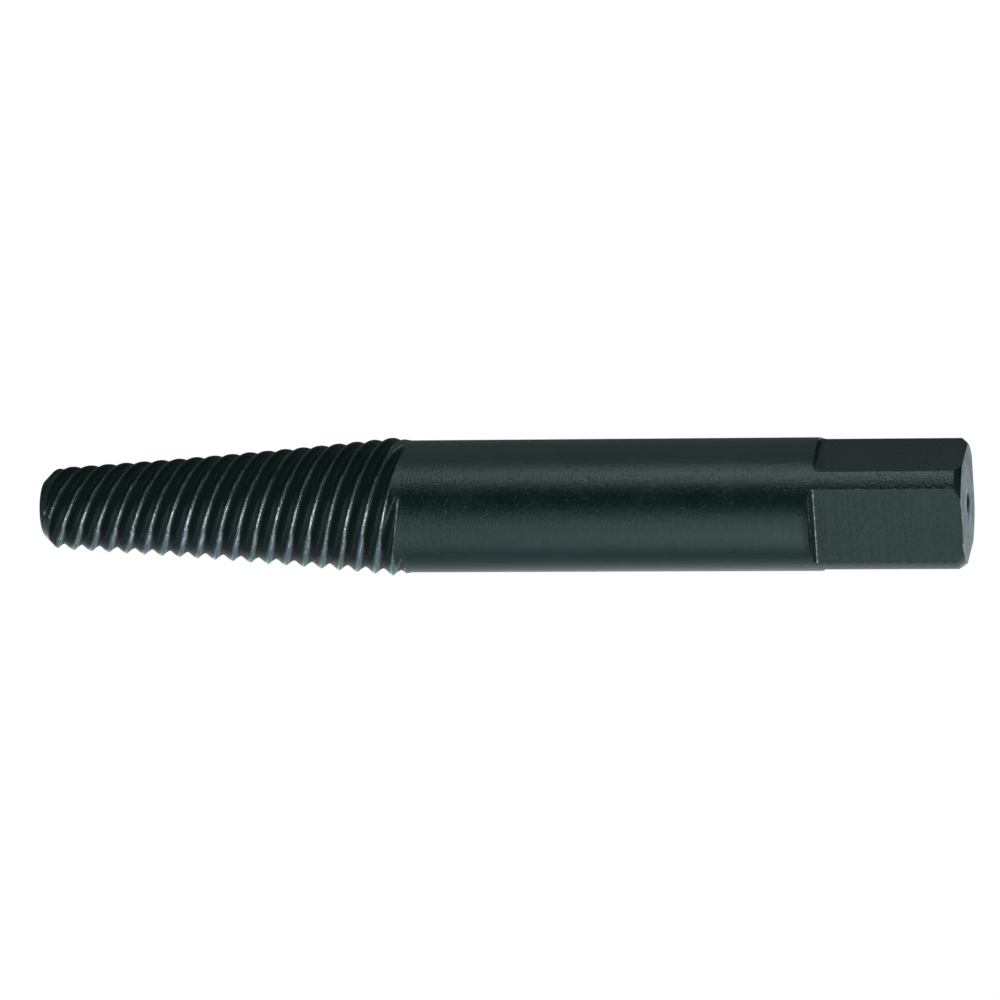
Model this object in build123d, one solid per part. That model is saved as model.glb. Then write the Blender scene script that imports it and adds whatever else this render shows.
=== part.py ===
"""Spiral screw extractor, turned and milled from one bar of hardened black steel.

The extractor stands on its drive end. The origin is the centre of the drive end face, +Z runs
up the axis to the tip, and the four flats of the drive square face +X, -X, +Y and -Y. From the
bottom up it has a chamfered drive square with a centre hole, a plain round shank, and a tapered
grip with left-hand spiral ridges. The grip is driven into a hole drilled in a broken screw, and
bites harder as the wrench on the square turns it anticlockwise. All sizes are in millimetres.
"""

import math
import os

from build123d import *

overall_length = 85.0
shank_diameter = 12.0

# Drive square, milled on the lower end of the shank
square_across_flats = 9.6
square_length = 13.6
square_run_out_radius = 0.65
drive_end_chamfer = 0.9

# Centre hole in the drive end face
centre_mouth_diameter = 1.9
centre_mouth_angle = 60.0
centre_drill_diameter = 0.8
centre_drill_depth = 2.4
centre_drill_point_angle = 118.0

# Tapered grip, measured over the tops of its ridges, which dip below a straight taper half way
grip_length = 34.3
grip_tip_diameter = 7.56
grip_hollow = 0.18
grip_shoulder_length = 1.6
grip_shoulder_height = 0.3
tip_chamfer = 1.15

# Spiral ridges and the grooves between them, with widths measured along the axis
ridge_starts = 6
ridge_lead = 10.0
ridge_land_width = 0.2
ridge_start_angle = 56.2
groove_depth = 0.56
groove_root_width = 0.25
groove_run_out_length = 1.0
groove_run_out_radius = 1.9
spiral_points_per_turn = 14

# How far a cutting outline passes outside the steel that it trims
cut_clearance = 0.15
cut_overrun = 1.0

shank_radius = shank_diameter / 2
largest_radius = shank_radius + grip_shoulder_height
smallest_radius = grip_tip_diameter / 2
grip_start = overall_length - grip_length
largest_height = grip_start + grip_shoulder_length
smallest_height = overall_length - tip_chamfer
grip_slope = (largest_radius - smallest_radius) / (smallest_height - largest_height)
ridge_pitch = ridge_lead / ridge_starts
run_out_top = grip_start + groove_run_out_length
core_bottom = run_out_top - math.sqrt(2 * groove_run_out_radius * (groove_depth + cut_clearance))
core_top = overall_length + cut_overrun
spiral_bottom = core_bottom - ridge_pitch
spiral_rise = core_top + ridge_pitch - spiral_bottom


def ridge_radius(height):
    """Radius over the tops of the ridges, which climb out of the steel in the run-out."""
    share = (smallest_height - height) / (smallest_height - largest_height)
    taper = smallest_radius + share * (largest_radius - smallest_radius)
    hollow = 4 * grip_hollow * share * (1 - share)
    below_run_out = max(0, run_out_top - height)
    return taper - hollow + below_run_out**2 / 2 / groove_run_out_radius


def turned(*outline):
    """Solid of revolution about Z from (radius, height) points, closed along the axis."""
    return revolve(Plane.XZ * make_face(Polyline(*outline, close=True)), axis=Axis.Z)


def spiral(angle, depth):
    """Left-hand spiral at a depth below the ridges, which would pass Z = 0 at the given angle."""
    steps = math.ceil(spiral_rise / ridge_lead * spiral_points_per_turn)
    fractions = [step / steps for step in range(steps + 1)]
    points = []
    for fraction in fractions:
        height = spiral_bottom + spiral_rise * fraction
        turn = math.radians(angle - 360 * height / ridge_lead)
        radius = ridge_radius(height) - depth
        points.append((radius * math.cos(turn), radius * math.sin(turn), height))
    return Edge.make_spline(points, parameters=fractions)


def ridge_strips():
    """Land, flank, root and flank of every ridge, as long strips that follow the spirals.

    Each strip is ruled along the axis between two spirals, and so starts and ends a little
    below or above the next one.
    """
    flank_width = (ridge_pitch - ridge_land_width - groove_root_width) / 2
    edges = []
    widths = []
    for start in range(ridge_starts):
        offset = start * ridge_pitch - ridge_land_width / 2
        for width, depth in (
            (ridge_land_width, 0),
            (flank_width, 0),
            (groove_root_width, groove_depth),
            (flank_width, groove_depth),
        ):
            edges.append(spiral(ridge_start_angle + 360 * offset / ridge_lead, depth))
            widths.append(width)
            offset += width
    strips = []
    for lower, upper, width in zip(edges, edges[1:] + edges[:1], widths):
        share = width / spiral_rise
        strips.append(Face.make_surface_from_curves(lower.trim(0, 1 - share), upper.trim(share, 1)))
    return strips


def ridged_core():
    """The ridges with the steel inside them, cut level below the run-out and above the tip."""
    span = Box(
        2 * shank_diameter,
        2 * shank_diameter,
        core_top - core_bottom,
        align=(Align.CENTER, Align.CENTER, Align.MIN),
    )
    tube = Shell([strip & Pos(0, 0, core_bottom) * span for strip in ridge_strips()])
    edges = tube.edges().sort_by(Axis.Z)
    count = len(tube.faces())
    ends = [Face(Wire(rim)) for rim in (edges[:count], edges[-count:])]
    return Solid(Shell([*tube.faces(), *ends]))


def ridged_grip():
    """The tapered grip, its turned shoulder and tip cut from the ridged core."""
    shoulder_slope = grip_shoulder_height / grip_shoulder_length
    shoulder_overrun = cut_clearance / (shoulder_slope + grip_slope)
    outline = turned(
        (0, core_bottom),
        (shank_radius, core_bottom),
        (shank_radius, grip_start),
        (largest_radius + shoulder_overrun * shoulder_slope, largest_height + shoulder_overrun),
        (smallest_radius + cut_clearance, smallest_height - cut_clearance),
        (smallest_radius - tip_chamfer, overall_length),
        (0, overall_length),
    )
    return outline & ridged_core()


def plain_shank():
    """The round shank up to the bottom of the grip, with the chamfer of its drive end."""
    return turned(
        (0, 0),
        (shank_radius - drive_end_chamfer, 0),
        (shank_radius, drive_end_chamfer),
        (shank_radius, core_bottom),
        (0, core_bottom),
    )


def square_cuts():
    """What the milling cutter takes off the four sides, with its rounded run-out above."""
    inner = square_across_flats / 2
    outer = shank_radius + cut_overrun
    slot = Plane.XZ * make_face(
        Polyline(
            (inner, -cut_overrun),
            (outer, -cut_overrun),
            (outer, square_length),
            (inner, square_length),
            close=True,
        )
    )
    corner = slot.vertices().sort_by(Axis.Z)[-2:].sort_by(Axis.X)[0]
    cut = extrude(fillet(corner, square_run_out_radius), shank_diameter, both=True)
    return [Rot(0, 0, 90 * side) * cut for side in range(4)]


def centre_hole():
    """Countersunk centre hole with its pilot, as drilled for turning between centres."""
    mouth = centre_mouth_diameter / 2
    drill = centre_drill_diameter / 2
    mouth_depth = (mouth - drill) / math.tan(math.radians(centre_mouth_angle / 2))
    point_depth = drill / math.tan(math.radians(centre_drill_point_angle / 2))
    return turned(
        (0, 0),
        (mouth, 0),
        (drill, mouth_depth),
        (drill, centre_drill_depth),
        (0, centre_drill_depth + point_depth),
    )


def screw_extractor():
    """The whole extractor as one solid."""
    return plain_shank() + ridged_grip() - square_cuts() - centre_hole()


os.makedirs("parts", exist_ok=True)
extractor = screw_extractor()
extractor.label = "screw_extractor"
export_step(extractor, "parts/screw_extractor.step")
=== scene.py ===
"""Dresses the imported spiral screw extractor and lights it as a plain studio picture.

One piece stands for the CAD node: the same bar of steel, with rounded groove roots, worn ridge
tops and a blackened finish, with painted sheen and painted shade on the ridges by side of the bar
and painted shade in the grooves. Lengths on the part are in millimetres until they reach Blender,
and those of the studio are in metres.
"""

import math

import bpy
from bpy.props import FloatProperty, FloatVectorProperty, PointerProperty
from mathutils import Matrix, Vector, noise


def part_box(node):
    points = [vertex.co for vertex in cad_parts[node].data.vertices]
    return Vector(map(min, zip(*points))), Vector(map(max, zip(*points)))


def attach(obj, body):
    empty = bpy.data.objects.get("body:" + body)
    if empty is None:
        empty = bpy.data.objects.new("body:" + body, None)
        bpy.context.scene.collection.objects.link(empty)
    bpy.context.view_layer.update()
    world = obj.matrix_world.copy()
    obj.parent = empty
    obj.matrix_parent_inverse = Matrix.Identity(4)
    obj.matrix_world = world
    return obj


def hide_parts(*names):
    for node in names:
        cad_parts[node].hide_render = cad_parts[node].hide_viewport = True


bl_info = {
    "name": "Spiral screw extractor",
    "version": (1, 0, 0),
    "blender": (4, 5, 0),
    "location": "View3D > Sidebar > Extractor",
    "description": "Builds a blackened spiral screw extractor and its studio",
    "category": "Add Mesh",
}

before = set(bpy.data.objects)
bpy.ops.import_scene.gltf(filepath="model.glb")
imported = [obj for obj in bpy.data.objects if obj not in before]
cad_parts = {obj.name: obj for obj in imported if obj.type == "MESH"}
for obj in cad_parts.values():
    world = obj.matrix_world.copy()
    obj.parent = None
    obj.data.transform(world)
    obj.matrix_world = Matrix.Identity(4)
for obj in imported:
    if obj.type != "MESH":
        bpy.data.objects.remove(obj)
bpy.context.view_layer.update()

MM = 0.001
QUARTER = math.pi / 2
RIDGES = 6

# Slack when two heights are compared
TINY = 1e-6

# Columns round the bar: over each flat, over each corner, and close together at each edge
FLAT_COLUMNS = 21
CORNER_COLUMNS = 9
EDGE_COLUMNS = 3
EDGE_COLUMN_STEP = math.radians(0.35)
SIDE_COLUMNS = FLAT_COLUMNS + CORNER_COLUMNS + 2 * EDGE_COLUMNS
COLUMNS = 4 * SIDE_COLUMNS

# Columns of the grip: how much they crowd at the ridge tops, how far below the top of the grooves'
# fade they start to follow the spirals, and how far the first may lie before the square's first
TOP_CROWDING = 0.5
SPIRAL_LEAD_IN = 2.5
FIRST_COLUMN_SLACK = 0.02

# Rows of the square: above the end's rim, in shares of the chamfer, evenly up to just below the
# run-outs, close together there, and round the run-outs
RIM_ROW = 0.03
CHAMFER_ROWS = (0.15, 0.3, 0.5, 0.7, 0.88, 0.96, 1.0, 1.06, 1.2)
SQUARE_ROWS = 12
SQUARE_ROWS_STOP = 0.25
CLOSE_ROWS = (0.15, 0.1, 0.05, 0.0)
RUN_OUT_ROWS = 9

# Rows of the shank, and the heights of those of the grip, finer at both of its ends
SHANK_ROWS = 26
RIDGE_ROW = 0.14
FINE_ROW = 0.07
FINE_PAST_SHOULDER = 0.8
FINE_BEFORE_CHAMFER = 0.35

# Rings that close the ends, in shares of the way out from the hole's mouth or the axis
END_FACE_RINGS = (0.0, 0.25, 0.5, 0.75, 0.97)
TIP_FACE_RINGS = (0.93, 0.6, 0.3, 0.1)

# Centre hole: angles of its cone and of the drill's point, and how far in from its mouth and how
# deep the ring beside its rim lies
HOLE_ANGLE = math.radians(60)
DRILL_POINT_ANGLE = math.radians(118)
HOLE_RIM = (0.02, 0.012)

# How far apart two surfaces are where the rounding between them starts
TIP_CHAMFER_ROUNDING = 0.25
OUTLINE_ROUNDING = 0.03
FLAT_EDGE_ROUNDING = 0.02

# Edge over each flat: its height above the run-out, how far in it is eased, and where that ends
SHOULDER_EDGE = 0.012
SHOULDER_EASE = 0.015
SHOULDER_EASE_TOP = 0.04

# How much shorter each flat is than the longest one, from the flat that faces +X round to -Y, and
# how far along the bar and how close to the corner the surface moves with it
FLATS_SHORT = (0.4, 0.3, 0.6, 0.0)
FLATS_SHORT_REACH = 3.0
FLATS_SHORT_EDGE = 0.1

# Form of the ridges: how steeply a groove's side rises, and how much softer a ridge's top is on
# its side toward the tip, with the width over which that changes
ROOT_POWER = 1.45
TIP_SIDE_ROUNDING = 4.2
TIP_SIDE_WIDTH = 0.24

# Wear of the ridges, in shares: all over, more in the middle of the grip, and where noise waves.
# The middle fades out the more steeply toward the shank. Nicks are where a finer noise stands out.
WEAR_ALL_OVER = 0.2
WEAR_IN_MIDDLE = 0.4
WEAR_IN_WAVES = 0.8
MIDDLE_FADE_TO_SHANK = 3.5
MIDDLE_FADE_TO_TIP = 2.5
WEAR_WAVES = 0.9
NICK_WAVES = 2.6
NICK_STEEPNESS = 3.0
NICK_THRESHOLD = 0.9
NICK_DEPTH = 1.2

# Unevenness of the whole grip: its waves, its least and its grain, and the height over which it
# fades in from how far below the grip
ROUGH_WAVES = 3.1
ROUGH_ALL_OVER = 0.008
ROUGH_GRAIN = 0.012
ROUGH_FADE = 1.5
ROUGH_PAST_GRIP = 0.5

# What each point of the mesh is marked with, for its finish: rubbing on the ridge tops, which also
# holds painted sheen and painted shade by side of the bar, depth down a groove, for painted shade
# there, and rubbing on the edges, which also holds painted shade on one side of the bar
MARKS = ("ridge_top", "groove", "edge")

# How strong a rubbed strip is in its middle, above 1 so that it is fully bare over some width
STRIP_STRENGTH = 1.3

# The strip along a ridge's top: how far it lies toward the tip, its reach to either side, where
# it starts and how it fades in above the grip's foot, and how it fades out below the tip chamfer
TOP_EDGE = 0.14
TOP_REACH = 0.18
TOP_FADE_IN = (0.6, 0.6)
TOP_FADE_OUT = (0.0, 0.3)

# The strip where the grooves come out on the shoulder: its reach, how bare it is, and its fades
BORDER_REACH = 0.05
BORDER_BARE = 0.8
BORDER_FADE_IN = (0.1, 0.2)
BORDER_FADE_OUT = (0.0, 0.5)

# How deep a groove is where its painted shade is full, and how far from an edge the steel is rubbed
GROOVE_REACH = 0.2
EDGE_REACH = 0.13

# Side of the bar on which the ridges' rubbed strip is widened and softened as a painted sheen,
# standing in for light reflected on that side, how much wider and softer, and how much less the
# ridges and the square's edges are rubbed on the other side, as painted shade. Where a side
# starts and how it fades in go by the cosine of the angle to its middle.
SHEEN_SIDE = math.radians(-140)
SHEEN_SIDE_WIDER = 3.0
SHEEN_SIDE_SOFTER = 0.15
SHEEN_SIDE_FADE = (0.6, 0.3)
SHADED_SIDE_LESS = 0.6
SHADED_SIDE_RIDGES_FADE = (0.05, 0.3)
SHADED_SIDE_EDGES_FADE = (0.0, 0.5)

# How bare each edge of the square is rubbed, and how far inside two of them points belong to it
FLAT_SIDE_BARE = 0.5
FLAT_TOP_BARE = 0.8
RUN_OUT_BARE = 1.0
END_RIM_BARE = 0.9
END_RIM_WIDTH = 0.3
HOLE_RIM_BARE = 0.8
HOLE_RIM_WIDTH = 0.2

# Order of the materials on the mesh, how far below the grip that of the ridges starts, and the
# angle from which an edge is drawn sharp
RIDGE_SLOT, SHANK_SLOT, SQUARE_SLOT, END_SLOT = range(4)
RIDGE_SLOT_PAST_GRIP = 0.2
SHARP_ANGLE = math.radians(32)

# Noises of the finish, in waves to a metre, along each axis where they differ
BLOTCH_WAVES = 260.0
GRAIN_WAVES = 2600.0
FLECK_WAVES = 7000.0
LATHE_RING_WAVES = (20.0, 20.0, 3200.0)
CUTTER_LINE_WAVES = (60.0, 60.0, 2400.0)
END_BLOTCH_WAVES = 500.0
END_RING_WAVES = 4000.0

# Tint of the oiled skin's shine, how strongly bumps show, and their heights in metres on the
# plain round, on the ridges and flats, and on the end faces
SHINE_TINT = (0.74, 1.0, 1.0)
BUMP_STRENGTH = 0.5
ROUND_BUMP = 0.00008
CUT_BUMP = 0.0001
END_BUMP = 0.00006

# Camera: the point it looks at, how far that is lifted in the picture, and the film's width
CAMERA_AIM = Vector((0.4511, 0.2037, 42.5504)) * MM
AIM_LIFT = 0.04 * MM
SENSOR_WIDTH = 36.0

# Lamps: the point they face, how far away they are, and the colours of their light
LAMP_AIM = Vector((0, 0, 0.07))
LAMP_AWAY = 0.6
WHITE = (1.0, 1.0, 1.0)
UPPER_TINT = (1.0, 0.88, 0.87)
UNDER_TINT = (0.95, 0.88, 0.89)

# Floor, in millimetres: its reach and its drop below the part, and then its opening as a share
# of the drive end
FLOOR_REACH = 3000.0
FLOOR_DROP = 0.02
FLOOR_OPENING = 0.985

# How bright the room looks in the part, from behind it (0) through the lower side of the picture,
# the camera (0.5) and the upper side of the picture to behind it again (1)
ROOM_LEVELS = (
    (0.0, 0.8),
    (0.07, 0.5),
    (0.12, 0.45),
    (0.22, 0.46),
    (0.42, 0.2),
    (0.46, 0.01),
    (0.54, 0.01),
    (0.6, 0.15),
    (0.75, 0.48),
    (0.86, 0.2),
    (1.0, 0.08),
)
ROOM_TINT = (0.86, 1.0, 1.04)

# The same for directions well below the drive end and well above the tip, and from which slope
# of a direction they count
DEEP_ROOM_LEVELS = ((0.0, 0.5), (0.6, 0.5), (0.75, 0.08), (1.0, 0.08))
HIGH_ROOM_LEVELS = ((0.0, 0.5), (0.35, 0.45), (0.42, 0.03), (1.0, 0.03))
AWAY_FROM_LEVEL = ((0.3, 0.0), (0.6, 1.0))

# How bright the room looks straight above the tip, and from which slope that counts
ZENITH_LEVEL = 0.08
NEAR_ZENITH = ((0.75, 0.0), (0.95, 1.0))


def length_property(name, description, default):
    """A length in millimetres, shown with the given name and description."""
    return FloatProperty(name=name, description=description, default=default, min=0.0, precision=3)


def angle_property(name, description, degrees):
    """An angle that Blender shows in degrees."""
    return FloatProperty(
        name=name, description=description, default=math.radians(degrees), subtype="ANGLE", unit="ROTATION"
    )


def colour_property(name, description, default):
    """A linear colour."""
    return FloatVectorProperty(
        name=name, description=description, default=default, size=3, min=0.0, max=1.0, subtype="COLOR"
    )


def share_property(name, description, default):
    """A share from 0 to 1."""
    return FloatProperty(
        name=name, description=description, default=default, min=0.0, max=1.0, subtype="FACTOR"
    )


def level_property(name, description, default):
    """A brightness, where 1 looks white."""
    return FloatProperty(name=name, description=description, default=default, min=0.0)


class ExtractorSizes(bpy.types.PropertyGroup):
    """Sizes of the extractor, in millimetres."""

    length: length_property("Length", "From the drive end to the tip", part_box("screw_extractor")[1].z / MM)
    shank_radius: length_property("Shank radius", "Radius of the plain shank", 6.0)
    half_flats: length_property("Half across flats", "From the axis to a flat of the square", 4.8)
    square_length: length_property("Square length", "Height of the shoulder above the drive end", 13.6)
    run_out_radius: length_property("Run-out radius", "Rounded corner at the top of a flat", 0.45)
    end_chamfer: length_property("End chamfer", "Chamfer of the drive end", 0.62)
    centre_mouth: length_property("Centre mouth", "Radius of the centre hole's mouth", 0.95)
    centre_drill: length_property("Centre drill", "Radius of the centre hole's pilot", 0.4)
    centre_depth: length_property("Centre depth", "Depth of the pilot before its point", 2.4)
    grip_length: length_property("Grip length", "Length of the tapered grip", 34.3)
    tip_radius: length_property("Tip radius", "Radius over the ridges behind the tip's chamfer", 3.78)
    hollow: length_property("Hollow", "How far the taper dips below a straight line half way", 0.13)
    wear: length_property("Wear", "How much the ridges are rubbed down in the middle of the grip", 0.05)
    crest_round: length_property("Crest rounding", "How softly a ridge's top turns into its sides", 0.07)
    shoulder_length: length_property("Shoulder length", "Where the grip grows out of the shank", 1.6)
    shoulder_height: length_property("Shoulder height", "How far the ridges stand out of the shank", 0.3)
    tip_chamfer: length_property("Tip chamfer", "Chamfer at the tip", 1.15)
    lead: length_property("Lead", "Rise of a ridge in one turn", 10.0)
    land: length_property("Land", "Width of a ridge's top along the axis", 0.2)
    groove_depth: length_property("Groove depth", "Depth between two ridges", 0.56)
    groove_fade: length_property("Groove fade", "Length over which the grooves fade out", 0.5)
    groove_fade_radius: length_property("Groove fade radius", "Radius of the fading groove floor", 1.2)
    ridge_angle: angle_property("Ridge angle", "Where the first ridge would start", 56.2)


class ExtractorFinish(bpy.types.PropertyGroup):
    """Colours, roughness and shine of the blackened steel."""

    oxide: colour_property("Oxide", "Black oxide of the turned shank", (0.0012, 0.0066, 0.0062))
    oxide_pale: colour_property("Pale oxide", "Thinner, greyer oxide in blotches", (0.0028, 0.0094, 0.0092))
    # Painted shade: darker black toward the groove roots, where the grooves shade themselves.
    groove_shade_black: colour_property("Groove shade", "Darker black toward the groove roots, painted shade", (0.0006, 0.0054, 0.0045))
    rubbed_top: colour_property("Rubbed top", "Darkened steel along the ridge tops", (0.20, 0.235, 0.26))
    bare_edge: colour_property("Bare edge", "Steel where an edge is rubbed bright", (0.30, 0.34, 0.36))
    end_grey: colour_property("End grey", "Bluish grey where the black is thin", (0.20, 0.28, 0.33))
    turned_roughness: share_property("Turned roughness", "Roughness of the turned round", 0.18)
    milled_roughness: share_property("Milled roughness", "Roughness of the milled flats", 0.27)
    faced_roughness: share_property("Faced roughness", "Roughness of the end faces", 0.38)
    groove_roughness: share_property("Groove roughness", "Roughness in the grooves", 0.4)
    shine: share_property("Shine", "Shine of the oiled black, where 0.5 is that of lacquer", 0.5)
    milled_shine: share_property("Milled shine", "The same on the milled flats", 0.37)
    groove_shine: share_property("Groove shine", "The same in the grooves", 0.15)


class StudioSettings(bpy.types.PropertyGroup):
    """Camera, lamps and floor."""

    azimuth: angle_property("Azimuth", "Direction of the camera round the part", 24.3)
    elevation: angle_property("Elevation", "Height of the camera over the floor", -11.0807)
    roll: angle_property("Roll", "Turn of the camera about its line of sight", -90.3374)
    distance: FloatProperty(name="Distance", description="Camera to aim", default=0.548256, unit="LENGTH")
    lens: FloatProperty(name="Lens", description="Focal length in millimetres", default=217.813)
    ambient: level_property("Ambient", "Strength of the plain light from all round", 0.45)
    upper_level: level_property("Upper lamp", "How bright the upper lamp looks", 3.7)
    lower_level: level_property("Lower lamp", "How bright the lower lamp looks", 1.65)
    under_level: level_property("Under lamp", "How bright the lamp behind the lower edge looks", 0.3)
    under_tip_level: level_property("Under tip lamp", "How bright the lamp behind the tip looks", 0.9)
    tip_level: level_property("Tip lamp", "How bright the lamp over the tip looks", 9.0)
    tip_side_level: level_property("Tip side lamp", "How bright the small lamp beside it looks", 8.1)
    end_level: level_property("End lamp", "How bright the lamp behind the end looks", 0.7)
    floor_colour: colour_property("Floor", "Colour of the floor", (0.86, 0.86, 0.86))


# Shape of the bar


def clamp(value, low=0.0, high=1.0):
    """The value, kept between two limits."""
    return max(low, min(high, value))


def smooth(value, start=0.0, reach=1.0):
    """Rises softly from 0 at a start to 1 at a reach past it."""
    share = clamp((value - start) / reach)
    return share * share * (3 - 2 * share)


def soft_min(a, b, width):
    """The smaller of two radii, rounded where they are closer than a width."""
    blend = clamp(0.5 + (b - a) / (2 * width))
    return b * (1 - blend) + a * blend - width * blend * (1 - blend)


def shares(count):
    """Even shares of a length, up to the whole of it."""
    return [(index + 1) / count for index in range(count)]


def evenly(first, last, count):
    """Values from the first to the last, evenly apart."""
    return [first + (last - first) * index / (count - 1) for index in range(count)]


def off_middle(angle):
    """Angle past the middle of the nearest flat."""
    return (angle + QUARTER / 2) % QUARTER - QUARTER / 2


def ring_at(height, pairs):
    """Points at one height, from (angle, radius) pairs."""
    return [(radius * math.cos(angle), radius * math.sin(angle), height) for angle, radius in pairs]


class Shape:
    """Radius of the bar's surface at any height and angle, from the extractor's sizes."""

    def __init__(self, sizes):
        self.sizes = sizes
        self.run_out_start = sizes.square_length - sizes.run_out_radius
        self.ledge_distance = sizes.half_flats + sizes.run_out_radius
        self.ledge_angle = math.acos(self.ledge_distance / sizes.shank_radius)
        self.grip_start = sizes.length - sizes.grip_length
        self.largest_height = self.grip_start + sizes.shoulder_length
        self.smallest_height = sizes.length - sizes.tip_chamfer
        self.largest_radius = sizes.shank_radius + sizes.shoulder_height
        self.fade_top = self.grip_start + sizes.groove_fade
        self.spiral_start = self.fade_top - SPIRAL_LEAD_IN
        self.pitch = sizes.lead / RIDGES
        self.hole_top = sizes.centre_depth + sizes.centre_drill / math.tan(DRILL_POINT_ANGLE / 2)

    def taper(self, height):
        """Radius over the tops of the ridges, a little hollow half way."""
        sizes = self.sizes
        share = (self.smallest_height - height) / (self.smallest_height - self.largest_height)
        straight = sizes.tip_radius + share * (self.largest_radius - sizes.tip_radius)
        return straight - 4 * sizes.hollow * share * (1 - share)

    def outline(self, height):
        """Radius of the turned blank."""
        sizes = self.sizes
        radius = min(sizes.shank_radius, sizes.shank_radius - sizes.end_chamfer + height)
        if height > self.grip_start:
            along = (height - self.grip_start) / sizes.shoulder_length
            radius = min(sizes.shank_radius + along * sizes.shoulder_height, self.taper(height))
        chamfer = sizes.tip_radius - sizes.tip_chamfer + (sizes.length - height)
        return soft_min(radius, chamfer, TIP_CHAMFER_ROUNDING)

    def flat_distance(self, height):
        """From the axis to a milled flat, which curves out to its ledge in the run-out."""
        radius = self.sizes.run_out_radius
        into = max(0.0, height - self.run_out_start)
        return self.ledge_distance - math.sqrt(max(0.0, radius**2 - into**2))

    def spiral_angle(self, offset, height):
        """Angle at a height of the spiral that lies an axial offset past the first ridge."""
        return self.sizes.ridge_angle + math.tau * (offset - height) / self.sizes.lead

    def from_top(self, height, angle):
        """Axial distance past the middle of the nearest ridge, toward the tip."""
        sizes = self.sizes
        offset = (angle - sizes.ridge_angle) / math.tau * sizes.lead + height
        return (offset + self.pitch / 2) % self.pitch - self.pitch / 2

    def ridged(self, height, angle):
        """Radius with the grooves, before the outline trims it."""
        sizes = self.sizes
        lift = max(0.0, self.fade_top - height) ** 2 / 2 / sizes.groove_fade_radius
        from_top = self.from_top(height, angle)
        from_root = (self.pitch / 2 - abs(from_top)) / (self.pitch / 2 - sizes.land / 2)
        side = sizes.groove_depth * (from_root**ROOT_POWER - 1)
        tip_side = smooth(from_top, -TIP_SIDE_WIDTH / 2, TIP_SIDE_WIDTH)
        rounding = sizes.crest_round * (1 + (TIP_SIDE_ROUNDING - 1) * tip_side)
        return self.taper(height) + lift + soft_min(side, -self.worn(height, angle), rounding)

    def on_shank(self, height, angle):
        """The point at a height and angle of a cylinder as wide as the shank."""
        radius = self.sizes.shank_radius
        return Vector((radius * math.cos(angle), radius * math.sin(angle), height))

    def worn(self, height, angle):
        """How far a ridge's top is worn down here, most in the middle of the grip, with nicks."""
        along = (height - self.largest_height) / (self.smallest_height - self.largest_height)
        middle = smooth(along * MIDDLE_FADE_TO_SHANK) * smooth((1 - along) * MIDDLE_FADE_TO_TIP)
        point = self.on_shank(height, angle)
        waves = 0.5 + 0.5 * noise.noise(point * WEAR_WAVES)
        nicks = clamp(noise.noise(point * NICK_WAVES) * NICK_STEEPNESS - NICK_THRESHOLD)
        share = WEAR_ALL_OVER + middle * (WEAR_IN_MIDDLE + WEAR_IN_WAVES * waves) + nicks * NICK_DEPTH
        return self.sizes.wear * share

    def unevenness(self, height, angle):
        """The slight unevenness of the whole grip."""
        grain = 0.5 + 0.5 * noise.noise(self.on_shank(height, angle) * ROUGH_WAVES)
        fade = smooth(height, self.grip_start - ROUGH_PAST_GRIP, ROUGH_FADE)
        return fade * (ROUGH_ALL_OVER + ROUGH_GRAIN * grain)

    def grip_radius(self, height, angle):
        """Radius of the finished grip."""
        trimmed = soft_min(self.ridged(height, angle), self.outline(height), OUTLINE_ROUNDING)
        return trimmed - self.unevenness(height, angle)


def square_angles(half_flat):
    """Column angles of one row of the square, whose flats reach this far from their middles."""
    step = EDGE_COLUMN_STEP
    angles = []
    for side in range(4):
        middle = side * QUARTER
        edge = middle + half_flat
        next_edge = middle + QUARTER - half_flat
        angles += evenly(middle - half_flat + 2 * step, edge - 2 * step, FLAT_COLUMNS)
        angles += evenly(edge - step, edge + step, EDGE_COLUMNS)
        angles += evenly(edge + 2 * step, next_edge - 2 * step, CORNER_COLUMNS)
        angles += evenly(next_edge - step, next_edge + step, EDGE_COLUMNS)
    return angles


def square_ring(shape, height):
    """One ring of the square."""
    outline = shape.outline(height)
    distance = shape.flat_distance(height)
    pairs = []
    for angle in square_angles(math.acos(distance / outline)):
        flat = distance / math.cos(off_middle(angle))
        pairs.append((angle, soft_min(outline, flat, FLAT_EDGE_ROUNDING)))
    return ring_at(height, pairs)


def square_heights(shape):
    """Heights of the square's rings, closest at its chamfer and its run-outs."""
    sizes = shape.sizes
    bottom = sizes.end_chamfer * CHAMFER_ROWS[-1]
    top = shape.run_out_start - SQUARE_ROWS_STOP
    heights = [0.0, RIM_ROW]
    heights += [sizes.end_chamfer * share for share in CHAMFER_ROWS]
    heights += [bottom + (top - bottom) * share for share in shares(SQUARE_ROWS)]
    heights += [shape.run_out_start - gap for gap in CLOSE_ROWS]
    for share in shares(RUN_OUT_ROWS):
        heights.append(shape.run_out_start + sizes.run_out_radius * math.sin(QUARTER * share))
    return heights


def shoulder_rings(shape, angles):
    """The two rings over the flats: their edge, slightly eased off, and the full round."""
    sizes = shape.sizes
    edge = []
    for angle in angles:
        ease = SHOULDER_EASE if abs(off_middle(angle)) < shape.ledge_angle else 0.0
        edge.append((angle, sizes.shank_radius - ease))
    full = [(angle, sizes.shank_radius) for angle in angles]
    return [
        ring_at(sizes.square_length + SHOULDER_EDGE, edge),
        ring_at(sizes.square_length + SHOULDER_EASE_TOP, full),
    ]


def spiral_columns(shape, first):
    """Angle where each column of the grip starts, in order from the first, and its offset."""
    per_ridge = COLUMNS // RIDGES
    columns = []
    for index in range(COLUMNS):
        share = index % per_ridge / per_ridge
        crowded = share - TOP_CROWDING * math.sin(math.tau * share) / math.tau
        offset = shape.pitch * (index // per_ridge + crowded)
        angle = shape.spiral_angle(offset, shape.spiral_start)
        columns.append((first + (angle - first) % math.tau, offset))
    return sorted(columns)


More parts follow.
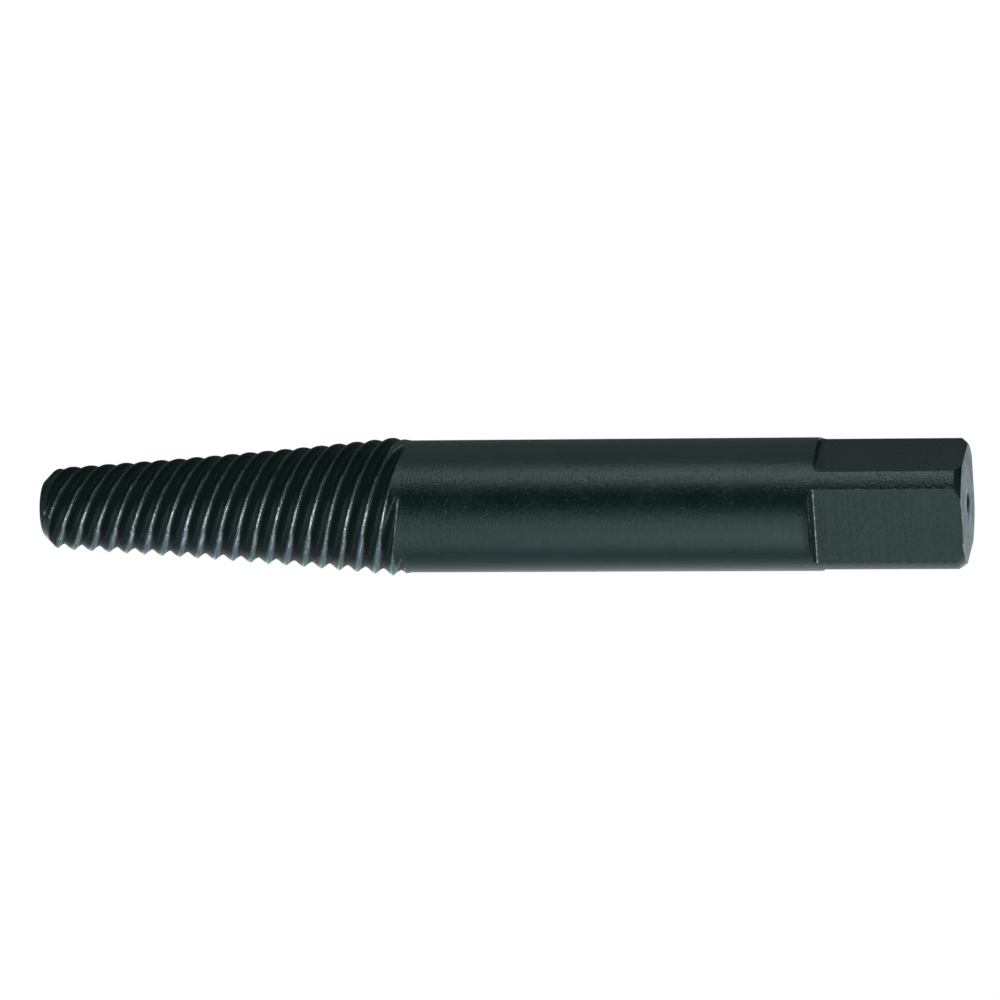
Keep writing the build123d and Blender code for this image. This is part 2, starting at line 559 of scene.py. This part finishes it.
def shank_rings(shape, square, grip):
    """Rings of the shank, whose column angles drift from the square's to the grip's."""
    sizes = shape.sizes
    bottom = sizes.square_length + SHOULDER_EASE_TOP
    rings = []
    for share in shares(SHANK_ROWS):
        drift = smooth(share)
        pairs = [(old + (new - old) * drift, sizes.shank_radius) for old, new in zip(square, grip)]
        rings.append(ring_at(bottom + (shape.spiral_start - bottom) * share, pairs))
    return rings


def grip_rings(shape, offsets):
    """Rings of the grip, whose columns follow the spirals."""
    fine_below = shape.largest_height + FINE_PAST_SHOULDER
    fine_above = shape.smallest_height - FINE_BEFORE_CHAMFER
    rings = []
    height = shape.spiral_start
    while height < shape.sizes.length - TINY:
        row = RIDGE_ROW if fine_below <= height <= fine_above else FINE_ROW
        height = min(shape.sizes.length, height + row)
        angles = [shape.spiral_angle(offset, height) for offset in offsets]
        rings.append(ring_at(height, [(angle, shape.grip_radius(height, angle)) for angle in angles]))
    return rings


def side_rings(shape):
    """Every ring of the outside, from the drive end to the tip."""
    angles = square_angles(shape.ledge_angle)
    starts, offsets = zip(*spiral_columns(shape, angles[0] - FIRST_COLUMN_SLACK))
    rings = [square_ring(shape, height) for height in square_heights(shape)]
    rings += shoulder_rings(shape, angles)
    rings += shank_rings(shape, angles, starts)
    return rings + grip_rings(shape, offsets)


def drawn_in(ring, radius, height, share=0.0):
    """The ring as a circle at a height, or moved a share of the way back to its own outline."""
    points = []
    for x, y, _ in ring:
        own = math.hypot(x, y)
        scale = (radius + (own - radius) * share) / own
        points.append((x * scale, y * scale, height))
    return points


def end_rings(shape, rim):
    """Rings of the centre hole, from its point down, and of the drive end's face out to its rim."""
    sizes = shape.sizes
    rim_width, rim_depth = HOLE_RIM
    cone_depth = (sizes.centre_mouth - sizes.centre_drill) / math.tan(HOLE_ANGLE / 2)
    hole = (
        (sizes.centre_drill / 2, (sizes.centre_depth + shape.hole_top) / 2),
        (sizes.centre_drill, sizes.centre_depth),
        (sizes.centre_drill, cone_depth),
        (sizes.centre_mouth - rim_width, rim_depth),
    )
    rings = [drawn_in(rim, radius, depth) for radius, depth in hole]
    face = [drawn_in(rim, sizes.centre_mouth, 0.0, share) for share in END_FACE_RINGS]
    return rings + face


def joined(rings):
    """Faces between the rings, closed by fans to the first and the last point of the mesh."""
    turns = [(column, (column + 1) % COLUMNS) for column in range(COLUMNS)]
    faces = [(0, 1 + after, 1 + column) for column, after in turns]
    for index in range(len(rings) - 1):
        low = 1 + index * COLUMNS
        high = low + COLUMNS
        faces += [(low + column, low + after, high + after, high + column) for column, after in turns]
    top = 1 + (len(rings) - 1) * COLUMNS
    return faces + [(top + column, top + after, top + COLUMNS) for column, after in turns]


def side_slot(shape, height, column):
    """Material of a face of the outside."""
    if height >= shape.sizes.length - TINY:
        return END_SLOT
    if height > shape.grip_start - RIDGE_SLOT_PAST_GRIP:
        return RIDGE_SLOT
    place = column % SIDE_COLUMNS
    on_flat = place <= FLAT_COLUMNS or place > SIDE_COLUMNS - EDGE_COLUMNS
    return SQUARE_SLOT if on_flat and height < shape.sizes.square_length + TINY else SHANK_SLOT


def slots_of(shape, rings, end_count):
    """Material of every face, of which the first rings belong to the drive end."""
    slots = [END_SLOT] * COLUMNS * (1 + end_count)
    for lower, upper in zip(rings[end_count:], rings[end_count + 1 :]):
        height = (lower[0][2] + upper[0][2]) / 2
        slots += [side_slot(shape, height, column) for column in range(COLUMNS)]
    return slots + [END_SLOT] * COLUMNS


def rubbed_and_painted_light_along_top(shape, height, angle):
    """How bare a ridge's top is rubbed here, widened on one side of the bar as a painted sheen and lessened
    on the other as painted shade.
    """
    toward_sheen_side = math.cos(angle - SHEEN_SIDE)
    on_sheen_side = smooth(toward_sheen_side, *SHEEN_SIDE_FADE)
    reach = TOP_REACH * (1 + SHEEN_SIDE_WIDER * on_sheen_side)
    away = abs(shape.from_top(height, angle) - TOP_EDGE * (1 - on_sheen_side))
    top = clamp(STRIP_STRENGTH - SHEEN_SIDE_SOFTER * on_sheen_side - away / reach)
    top *= 1 - SHADED_SIDE_LESS * smooth(-toward_sheen_side, *SHADED_SIDE_RIDGES_FADE)
    top *= smooth(height - shape.grip_start, *TOP_FADE_IN)
    return top * smooth(shape.smallest_height - height, *TOP_FADE_OUT)


def grip_marks(shape, height, angle):
    """Marks on the grip: rubbed along the ridge tops, with painted sheen and shade by side of the bar,
    rubbed at the grooves' ends, and deep in the grooves, where the finish paints shade.
    """
    below = shape.outline(height) - shape.ridged(height, angle)
    border = clamp(STRIP_STRENGTH - abs(below) / BORDER_REACH)
    border *= smooth(height - shape.grip_start, *BORDER_FADE_IN)
    border *= smooth(shape.largest_height - height, *BORDER_FADE_OUT)
    top = rubbed_and_painted_light_along_top(shape, height, angle)
    return max(top, border * BORDER_BARE), smooth(below, 0.0, GROOVE_REACH), 0.0


def square_marks(shape, height, angle, radius):
    """Marks on the square and the drive end, which are rubbed along their edges, less on one side of the bar
    as painted shade.
    """
    sizes = shape.sizes
    off = abs(off_middle(angle))
    outline = shape.outline(height)
    half_flat = math.acos(shape.flat_distance(height) / outline)
    near = [(abs(off - half_flat) * outline, FLAT_SIDE_BARE)]
    if off < half_flat + 1.5 * EDGE_COLUMN_STEP:
        near.append((abs(height - sizes.square_length), FLAT_TOP_BARE))
        near.append((abs(height - shape.run_out_start), RUN_OUT_BARE))
    if radius > outline - END_RIM_WIDTH:
        near.append((height, END_RIM_BARE))
    if radius < sizes.centre_mouth + HOLE_RIM_WIDTH:
        near = [(abs(radius - sizes.centre_mouth), HOLE_RIM_BARE)]
    # Painted shade: edges on the side opposite the sheen side are rubbed less.
    kept = 1 - SHADED_SIDE_LESS * smooth(-math.cos(angle - SHEEN_SIDE), *SHADED_SIDE_EDGES_FADE)
    return 0.0, 0.0, kept * max(bare * clamp(1 - away / EDGE_REACH) for away, bare in near)


def marks_at(shape, point):
    """How much a point is rubbed on a ridge's top, lies down in a groove, and is rubbed on an edge, each 0
    to 1, the rubbing with painted sheen and shade by side of the bar.
    """
    x, y, height = point
    angle = math.atan2(y, x)
    if height > shape.grip_start:
        return grip_marks(shape, height, angle)
    if height > shape.sizes.square_length + EDGE_REACH:
        return 0.0, 0.0, 0.0
    return square_marks(shape, height, angle, math.hypot(x, y))


def shortened(shape, point):
    """The point in metres, lowered where the milling cutter stopped short on its flat."""
    x, y, height = point
    angle = math.atan2(y, x)
    side = round(angle / QUARTER) % 4
    to_corner = 1 - abs(off_middle(angle)) / (QUARTER / 2)
    away = abs(height - shape.sizes.square_length) / FLATS_SHORT_REACH
    short = FLATS_SHORT[side] * smooth(1 - away) * smooth(to_corner, 0.0, FLATS_SHORT_EDGE)
    return x * MM, y * MM, (height - short) * MM


def build_mesh(shape):
    """The whole closed surface: end face, hole, sides, grip and tip."""
    sides = side_rings(shape)
    ends = end_rings(shape, sides[0])
    tip = [[(x * share, y * share, z) for x, y, z in sides[-1]] for share in TIP_FACE_RINGS]
    rings = ends + sides + tip
    points = [(0.0, 0.0, shape.hole_top)]
    for ring in rings:
        points += ring
    points.append((0.0, 0.0, shape.sizes.length))
    mesh = bpy.data.meshes.new("blackened_extractor")
    mesh.from_pydata([shortened(shape, point) for point in points], [], joined(rings))
    mesh.polygons.foreach_set("material_index", slots_of(shape, rings, len(ends)))
    marks = [marks_at(shape, point) for point in points]
    for name, values in zip(MARKS, zip(*marks)):
        mesh.attributes.new(name, "FLOAT", "POINT").data.foreach_set("value", values)
    mesh.shade_smooth()
    mesh.set_sharp_from_angle(angle=SHARP_ANGLE)
    mesh.validate()
    return mesh


# Materials


def operator_pair(operation):
    """A Python operator on values and its reflected form, which add a Math node."""

    def plain(self, other):
        return self.math(operation, self, other)

    def reflected(self, other):
        return self.math(operation, other, self)

    return plain, reflected


class Term:
    """A value or vector socket that can be used in Python expressions."""

    def __init__(self, tree, socket):
        self.tree = tree
        self.socket = socket

    __add__, __radd__ = operator_pair("ADD")
    __sub__, __rsub__ = operator_pair("SUBTRACT")
    __mul__, __rmul__ = operator_pair("MULTIPLY")
    __truediv__, __rtruediv__ = operator_pair("DIVIDE")
    __pow__, __rpow__ = operator_pair("POWER")

    def math(self, operation, *values):
        """A Math node on the given values."""
        return self.tree.value("ShaderNodeMath", {"operation": operation}, dict(enumerate(values)))

    def clip(self):
        """The value, kept between 0 and 1."""
        return self.math("MAXIMUM", self.math("MINIMUM", self, 1.0), 0.0)

    def spread(self, amount):
        """A noise about 0.5, moved to lie about 0 and stretched."""
        return (self - 0.5) * amount

    def past(self, start, steepness):
        """0 up to a start, and rising to 1 past it."""
        return ((self - start) * steepness).clip()

    def toward(self, other, share):
        """The value, moved a share of the way to another."""
        return self + share * (other - self)


class Tree:
    """The node tree of one material or of the world."""

    def __init__(self, owner):
        self.owner = owner
        owner.use_nodes = True
        self.nodes = owner.node_tree.nodes
        self.links = owner.node_tree.links
        self.nodes.clear()

    def node(self, kind, settings=None, inputs=None):
        """Adds a node: its settings first, then the values or links of its sockets."""
        made = self.nodes.new(kind)
        for key, value in (settings or {}).items():
            if key == "stops":
                ramp = made.color_ramp
                while len(ramp.elements) < len(value):
                    ramp.elements.new(0.5)
                for element, (position, level) in zip(ramp.elements, value):
                    element.position = position
                    element.color = (level, level, level, 1.0)
            else:
                setattr(made, key, value)
        for key, value in (inputs or {}).items():
            socket = made.inputs[key]
            if isinstance(value, Term):
                self.links.new(value.socket, socket)
            elif hasattr(value, "__len__") and len(value) == 3 and len(socket.default_value) == 4:
                socket.default_value = (*value, 1.0)
            else:
                socket.default_value = value
        return made

    def value(self, kind, settings=None, inputs=None, output=0):
        """One output of a new node."""
        return Term(self, self.node(kind, settings, inputs).outputs[output])

    def mix(self, factor, first, second):
        """Colour between two colours."""
        inputs = {"Factor": factor, 6: first, 7: second}
        return self.value("ShaderNodeMix", {"data_type": "RGBA"}, inputs, output=2)

    def ramp(self, stops, place):
        """Level that changes with a place, by (place, level) stops."""
        return self.value("ShaderNodeValToRGB", {"stops": stops}, {"Fac": place})

    def place(self, stretch=(1.0, 1.0, 1.0)):
        """Place on the object in metres, stretched along each axis."""
        spot = self.value("ShaderNodeTexCoord", output="Object")
        return self.value("ShaderNodeVectorMath", {"operation": "MULTIPLY"}, {0: spot, 1: stretch})

    def noise(self, place, scale, detail):
        """Even noise about 0.5, of the given number of waves to a metre."""
        return self.value("ShaderNodeTexNoise", None, {"Vector": place, "Scale": scale, "Detail": detail})

    def dot(self, first, second):
        """How far the first vector reaches along the second."""
        settings = {"operation": "DOT_PRODUCT"}
        return self.value("ShaderNodeVectorMath", settings, {0: first, 1: second}, output="Value")

    def mark(self, name):
        """A mark that the mesh carries, 0 to 1."""
        return self.value("ShaderNodeAttribute", {"attribute_name": name}, output="Fac")

    def steel(self, colour, roughness, metallic, height, depth, shine):
        """Steel with an oiled black skin, whose bare spots are metallic."""
        relief = {"Strength": BUMP_STRENGTH, "Distance": depth, "Height": height}
        inputs = {
            "Base Color": colour,
            "Roughness": roughness,
            "Metallic": metallic,
            "Specular IOR Level": shine,
            "Specular Tint": SHINE_TINT,
            "Normal": self.value("ShaderNodeBump", None, relief),
        }
        return self.value("ShaderNodeBsdfPrincipled", None, inputs)

    def finished(self, shader):
        """The material, with this shader on its surface."""
        self.node("ShaderNodeOutputMaterial", None, {"Surface": shader})
        return self.owner


def new_tree(name):
    """The empty node tree of a new material."""
    return Tree(bpy.data.materials.new(name))


class Skin:
    """Oiled black oxide with pale blotches, and the noises that it and its wear are made from."""

    def __init__(self, tree, finish):
        place = tree.place()
        self.blotch = tree.noise(place, BLOTCH_WAVES, 4.0)
        self.grain = tree.noise(place, GRAIN_WAVES, 3.0)
        self.fleck = tree.noise(place, FLECK_WAVES, 2.0)
        self.colour = tree.mix(self.blotch.past(0.42, 3.0), finish.oxide, finish.oxide_pale)


class TurnedSkin(Skin):
    """The skin of the turned round, with grey flecks and faint rings from the lathe."""

    def __init__(self, tree, finish):
        super().__init__(tree, finish)
        rings = tree.noise(tree.place(LATHE_RING_WAVES), 1.0, 3.0)
        self.colour = tree.mix(self.fleck.past(0.62, 4.0) * 0.12, self.colour, finish.end_grey)
        uneven = self.blotch.spread(0.1) + self.grain.spread(0.14) + rings.spread(0.05)
        self.roughness = finish.turned_roughness + uneven
        self.height = self.grain * 0.2 + self.fleck + rings * 0.3


def ridge_steel(finish):
    """Ridges rubbed bare in streaks along their tops, widened on one side of the bar as a painted sheen and
    fewer on the other as painted shade, with grooves painted darker and duller toward their roots as painted
    shade.
    """
    tree = new_tree("ridge_steel")
    skin = TurnedSkin(tree, finish)
    # The ridge-top mark holds wear and, by side of the bar, painted sheen and painted shade.
    bare = tree.mark("ridge_top") * 1.6 - 0.7
    bare = (bare + skin.grain.spread(1.6) + skin.blotch.spread(1.8) + skin.fleck.spread(1.2)).clip()
    colour = tree.mix(bare, skin.colour, finish.rubbed_top)
    tops = tree.steel(colour, skin.roughness, bare, skin.height, CUT_BUMP, finish.shine)
    # Painted shade in the grooves: a darker, duller black toward their roots.
    shaded_black = tree.mix(skin.blotch.past(0.3, 2.0), finish.groove_shade_black, finish.oxide)
    roughness = finish.groove_roughness + skin.grain.spread(0.3)
    grooves = tree.steel(shaded_black, roughness, 0.0, skin.height, CUT_BUMP, finish.groove_shine)
    in_groove_shade = (tree.mark("groove") * 1.4 - 0.2 + skin.grain.spread(0.5) - bare * 0.8).clip()
    return tree.finished(tree.value("ShaderNodeMixShader", None, {0: in_groove_shade, 1: tops, 2: grooves}))


def shank_steel(finish):
    """Turned and blackened round: blotches, fine speckle and faint rings from the lathe."""
    tree = new_tree("shank_steel")
    skin = TurnedSkin(tree, finish)
    shank = tree.steel(skin.colour, skin.roughness, 0.0, skin.height, ROUND_BUMP, finish.shine)
    return tree.finished(shank)


def square_steel(finish):
    """Milled flats with a cutter's fine lines across the axis, and rubbed edges."""
    tree = new_tree("square_steel")
    skin = Skin(tree, finish)
    lines = tree.noise(tree.place(CUTTER_LINE_WAVES), 1.0, 4.0)
    lined = tree.mix(lines.past(0.45, 1.6), skin.colour, finish.oxide_pale)
    # The edge mark holds wear and, on one side of the bar, painted shade that rubs the edges less.
    bare = (tree.mark("edge") * 1.5 - 0.75 + skin.grain.spread(1.6) + skin.fleck.spread(1.0)).clip()
    colour = tree.mix(bare, lined, finish.bare_edge)
    roughness = finish.milled_roughness + lines.spread(0.12) + skin.grain.spread(0.2)
    height = lines * 0.6 + skin.grain * 0.6 + skin.fleck * 0.2
    return tree.finished(tree.steel(colour, roughness, bare, height, CUT_BUMP, finish.milled_shine))


def end_steel(finish):
    """Faced ends, where the black is thin and bluish, with rings about the centre hole."""
    tree = new_tree("end_steel")
    place = tree.place()
    grain = tree.noise(place, GRAIN_WAVES, 3.0)
    blotch = tree.noise(place, END_BLOTCH_WAVES, 3.0)
    parts = tree.node("ShaderNodeSeparateXYZ", None, {0: place})
    x, y = Term(tree, parts.outputs["X"]), Term(tree, parts.outputs["Y"])
    radius = (x * x + y * y) ** 0.5
    ring_inputs = {"W": radius, "Scale": END_RING_WAVES}
    rings = tree.value("ShaderNodeTexNoise", {"noise_dimensions": "1D"}, ring_inputs)
    thin = (0.45 + blotch.spread(4.4) + rings.spread(1.6) + grain.spread(1.4)).clip()
    colour = tree.mix(thin, finish.oxide_pale, finish.end_grey)
    # The edge mark holds wear and, on one side of the bar, painted shade that rubs the rims less.
    bare = (tree.mark("edge") * 1.2 - 0.7 + grain.spread(1.4)).clip()
    colour = tree.mix(bare, colour, finish.bare_edge)
    roughness = finish.faced_roughness - bare * 0.1 + grain.spread(0.2)
    return tree.finished(tree.steel(colour, roughness, thin * 0.5, rings + grain, END_BUMP, finish.shine))


# Studio


def camera_axes(studio):
    """Right, up and back of the camera."""
    level = math.cos(studio.elevation)
    across, away = math.sin(studio.azimuth) * level, -math.cos(studio.azimuth) * level
    back = Vector((across, away, math.sin(studio.elevation)))
    right = Vector((0, 0, 1)).cross(back).normalized()
    up = back.cross(right)
    cosine, sine = math.cos(studio.roll), math.sin(studio.roll)
    return right * cosine + up * sine, up * cosine - right * sine, back


def level_axes(studio):
    """Level directions to the camera and to the upper side of the picture."""
    _, up, back = camera_axes(studio)
    return Vector((back.x, back.y, 0)), Vector((up.x, up.y, 0))


def add_camera(scene, studio):
    """The camera that sees the part as the photograph does."""
    data = bpy.data.cameras.new("studio_camera")
    data.lens = studio.lens
    data.sensor_width = SENSOR_WIDTH
    camera = bpy.data.objects.new("studio_camera", data)
    right, up, back = camera_axes(studio)
    turn = Matrix((right, up, back)).transposed().to_4x4()
    camera.matrix_world = Matrix.Translation(CAMERA_AIM + up * AIM_LIFT + back * studio.distance) @ turn
    scene.collection.objects.link(camera)
    scene.camera = camera


def floor_paper(colour):
    """Matt paper that is clear from below and in reflections."""
    tree = new_tree("floor_paper")
    matt = {"Base Color": colour, "Roughness": 0.8, "Specular IOR Level": 0.1}
    paper = tree.value("ShaderNodeBsdfPrincipled", None, matt)
    clear = tree.value("ShaderNodeBsdfTransparent")
    below = tree.value("ShaderNodeNewGeometry", output="Backfacing")
    reflection = tree.value("ShaderNodeLightPath", output="Is Glossy Ray")
    unseen = below.math("MAXIMUM", below, reflection)
    return tree.finished(tree.value("ShaderNodeMixShader", None, {0: unseen, 1: paper, 2: clear}))


def add_floor(scene, shape, studio):
    """Pale floor that hides nothing from below, open under the drive end."""
    inner = [(x * FLOOR_OPENING, y * FLOOR_OPENING) for x, y, _ in square_ring(shape, 0.0)]
    outer = []
    for x, y in inner:
        scale = FLOOR_REACH / math.hypot(x, y)
        outer.append((x * scale, y * scale))
    faces = []
    for column in range(COLUMNS):
        after = (column + 1) % COLUMNS
        faces.append((column, COLUMNS + column, COLUMNS + after, after))
    mesh = bpy.data.meshes.new("floor")
    mesh.from_pydata([(x * MM, y * MM, -FLOOR_DROP * MM) for x, y in inner + outer], [], faces)
    mesh.materials.append(floor_paper(studio.floor_colour))
    floor = bpy.data.objects.new("floor", mesh)
    scene.collection.objects.link(floor)


def add_lamp(scene, studio, name, around, above, size, level, tint=WHITE):
    """Soft lamp at degrees round the axis from the camera's direction and above the horizon.

    Its level is how bright it looks, where 1 is white.
    """
    front, side = (axis.normalized() for axis in level_axes(studio))
    around, above = math.radians(around), math.radians(above)
    flat = front * math.cos(around) + side * math.sin(around)
    direction = flat * math.cos(above) + Vector((0, 0, math.sin(above)))
    data = bpy.data.lights.new(name, "AREA")
    data.shape = "RECTANGLE"
    data.size, data.size_y = size
    data.energy = level * math.pi * data.size * data.size_y
    data.color = tint
    lamp = bpy.data.objects.new(name, data)
    across = Vector((0, 0, 1)).cross(direction).normalized()
    turn = Matrix((across, direction.cross(across), direction)).transposed().to_4x4()
    lamp.matrix_world = Matrix.Translation(direction * LAMP_AWAY + LAMP_AIM) @ turn
    scene.collection.objects.link(lamp)


def add_lamps(scene, studio):
    """Lamps for the shank's two pale bands, its lower edge, the ridge tops and the end face."""

    def lamp(name, level, around, above, size, tint=WHITE):
        add_lamp(scene, studio, name, around, above, size, level, tint)

    lamp("upper_lamp", studio.upper_level, around=53, above=-2, size=(0.22, 0.26), tint=UPPER_TINT)
    lamp("lower_lamp", studio.lower_level, around=-47, above=-2, size=(0.76, 0.26))
    lamp("under_lamp", studio.under_level, around=-143, above=-2, size=(0.40, 0.24), tint=UNDER_TINT)
    lamp("under_tip_lamp", studio.under_tip_level, around=-165, above=26, size=(0.22, 0.2), tint=UNDER_TINT)
    lamp("tip_lamp", studio.tip_level, around=-4, above=54, size=(0.28, 0.42))
    lamp("tip_side_lamp", studio.tip_side_level, around=-77, above=42, size=(0.10, 0.26))
    lamp("end_lamp", studio.end_level, around=180, above=-14, size=(0.50, 0.16))


def room_level(tree, studio):
    """How bright the room looks in the part, by the direction of the reflection."""
    front, side = level_axes(studio)
    direction = tree.value("ShaderNodeTexCoord", output="Generated")
    toward = tree.dot(direction, front)
    aside = tree.dot(direction, side)
    around = toward.math("ARCTAN2", aside, toward) / math.tau + 0.5
    slope = tree.dot(direction, (0.0, 0.0, 1.0))
    high = tree.ramp(HIGH_ROOM_LEVELS, around).toward(ZENITH_LEVEL, tree.ramp(NEAR_ZENITH, slope))
    room = tree.ramp(ROOM_LEVELS, around)
    room = room.toward(tree.ramp(DEEP_ROOM_LEVELS, around), tree.ramp(AWAY_FROM_LEVEL, 0 - slope))
    return room.toward(high, tree.ramp(AWAY_FROM_LEVEL, slope))


def add_world(scene, studio):
    """White behind the part, a room in its reflections, and plain grey light otherwise."""
    tree = Tree(bpy.data.worlds.new("studio_world"))
    path = tree.node("ShaderNodeLightPath")
    camera_ray, glossy_ray, through_ray = (
        Term(tree, path.outputs[name]) for name in ("Is Camera Ray", "Is Glossy Ray", "Is Transmission Ray")
    )
    light = studio.ambient * (1 - glossy_ray) + room_level(tree, studio) * glossy_ray
    seen = camera_ray.math("MAXIMUM", camera_ray, through_ray)
    tint = tree.mix(glossy_ray, WHITE, ROOM_TINT)
    surface = {"Color": tint, "Strength": seen.math("MAXIMUM", seen, light)}
    tree.node("ShaderNodeOutputWorld", None, {"Surface": tree.value("ShaderNodeBackground", None, surface)})
    scene.world = tree.owner


# Add-on


class EXTRACTOR_OT_body(bpy.types.Operator):
    """Builds the extractor as one closed mesh that stands for the CAD node"""

    bl_idname = "extractor.body"
    bl_label = "Build the extractor"

    def execute(self, context):
        shape = Shape(context.scene.extractor_sizes)
        body = bpy.data.objects.new("blackened_extractor", build_mesh(shape))
        context.scene.collection.objects.link(body)
        finish = context.scene.extractor_finish
        for steel in (ridge_steel, shank_steel, square_steel, end_steel):
            body.data.materials.append(steel(finish))
        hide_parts("screw_extractor")
        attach(body, "root")
        return {"FINISHED"}


class EXTRACTOR_OT_stage(bpy.types.Operator):
    """Adds the floor, the plain light and the camera"""

    bl_idname = "extractor.stage"
    bl_label = "Set the stage"

    def execute(self, context):
        studio = context.scene.extractor_studio
        add_camera(context.scene, studio)
        add_floor(context.scene, Shape(context.scene.extractor_sizes), studio)
        add_lamps(context.scene, studio)
        add_world(context.scene, studio)
        context.scene.view_settings.view_transform = "Standard"
        return {"FINISHED"}


class EXTRACTOR_PT_sidebar(bpy.types.Panel):
    """Lists the steps that build the extractor and its studio"""

    bl_label = "Screw extractor"
    bl_idname = "EXTRACTOR_PT_sidebar"
    bl_space_type = "VIEW_3D"
    bl_region_type = "UI"
    bl_category = "Extractor"

    def draw(self, context):
        column = self.layout.column()
        for operator in OPERATORS:
            column.operator(operator.bl_idname)


OPERATORS = (EXTRACTOR_OT_body, EXTRACTOR_OT_stage)
CLASSES = (ExtractorSizes, ExtractorFinish, StudioSettings, *OPERATORS, EXTRACTOR_PT_sidebar)


def register():
    for item in CLASSES:
        bpy.utils.register_class(item)
    bpy.types.Scene.extractor_sizes = PointerProperty(type=ExtractorSizes)
    bpy.types.Scene.extractor_finish = PointerProperty(type=ExtractorFinish)
    bpy.types.Scene.extractor_studio = PointerProperty(type=StudioSettings)


def unregister():
    del bpy.types.Scene.extractor_sizes
    del bpy.types.Scene.extractor_finish
    del bpy.types.Scene.extractor_studio
    for item in reversed(CLASSES):
        bpy.utils.unregister_class(item)


def main():
    register()
    bpy.ops.extractor.body()
    bpy.ops.extractor.stage()


if __name__ == "__main__":
    main()
